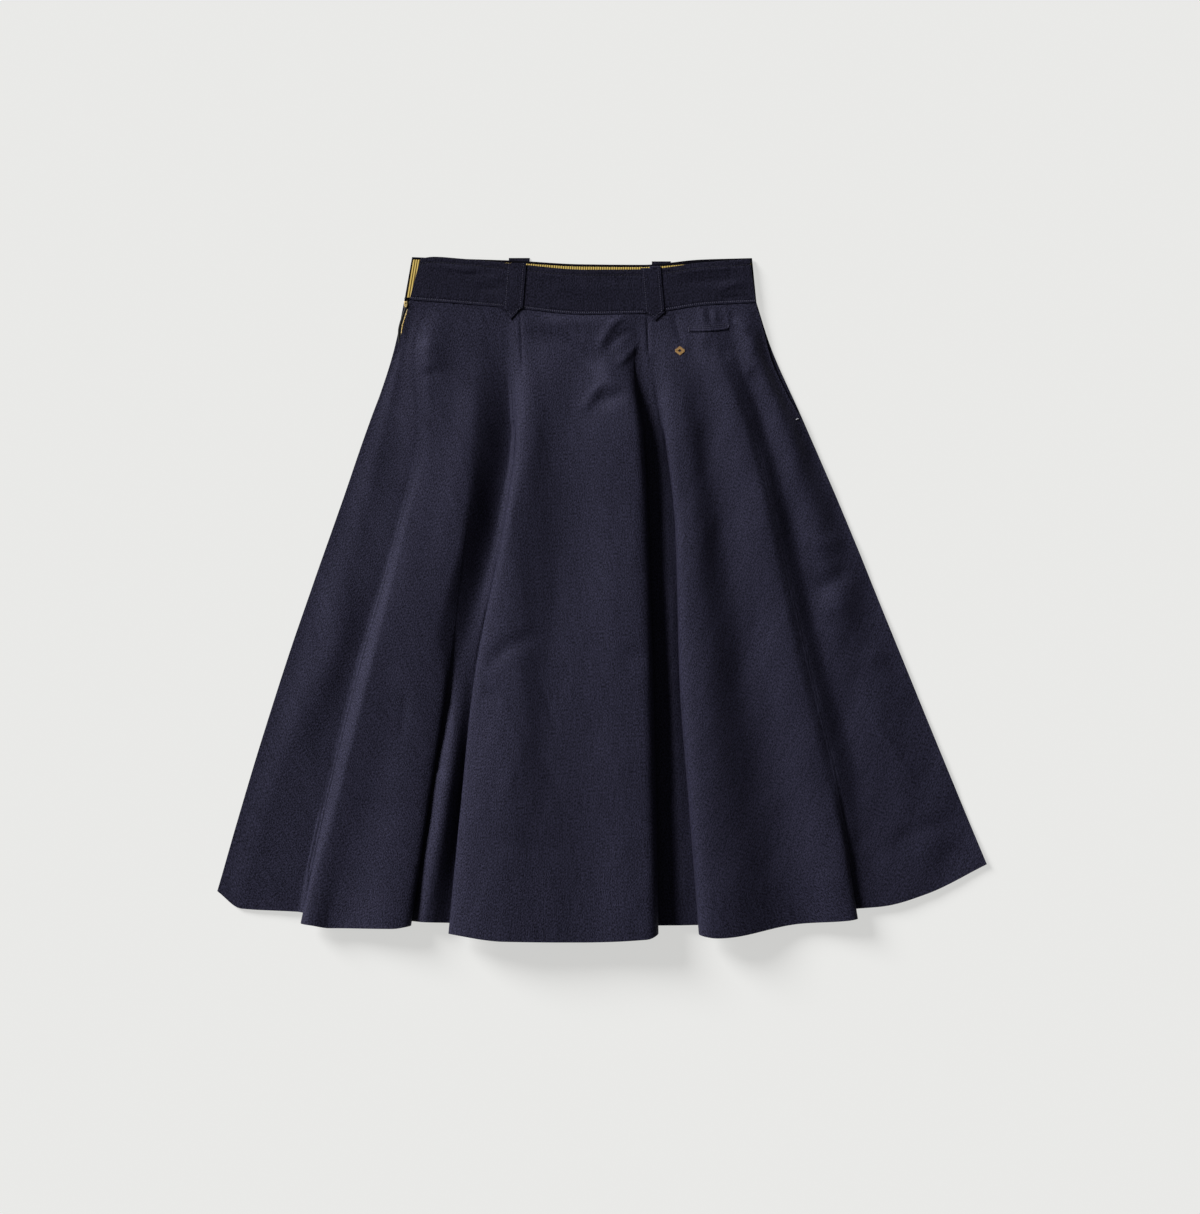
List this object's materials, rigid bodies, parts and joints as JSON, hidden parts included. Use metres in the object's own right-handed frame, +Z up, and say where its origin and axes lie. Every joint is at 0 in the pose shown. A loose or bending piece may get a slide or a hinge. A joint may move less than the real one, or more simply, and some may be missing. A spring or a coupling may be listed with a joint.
{
  "type": "circle skirt",
  "caption": "Navy half-circle midi skirt laid flat, front folds standing, straight waistband with belt loops and a side zip.",
  "frame": {"origin": "middle of the skirt's box, on the surface that it lies on", "axes": "+X across the skirt towards its seen right side, +Y towards the waist, +Z up from the surface"},
  "size_m": [0.772, 0.685, 0.0291],
  "materials": {
    "navy_sateen": "cotton sateen drill, soft sheen",
    "gold_lining": "ribbed satin tape",
    "brass": "satin plated",
    "nickel": "polished nickel plate"
  },
  "bodies": {
    "root": {"skirt_front": "navy_sateen", "skirt_back": "navy_sateen", "waistband_front": "navy_sateen", "waistband_back": "navy_sateen", "belt_loop_front_left": "navy_sateen", "belt_loop_front_right": "navy_sateen", "belt_loop_back_left": "navy_sateen", "belt_loop_back_right": "navy_sateen", "pocket_facing": "navy_sateen", "coin_pocket_welt": "navy_sateen", "band_lining_back": "gold_lining", "zip_tape": "gold_lining", "zip_slider": "brass", "hook_bar": "nickel"}
  },
  "joints": []
}
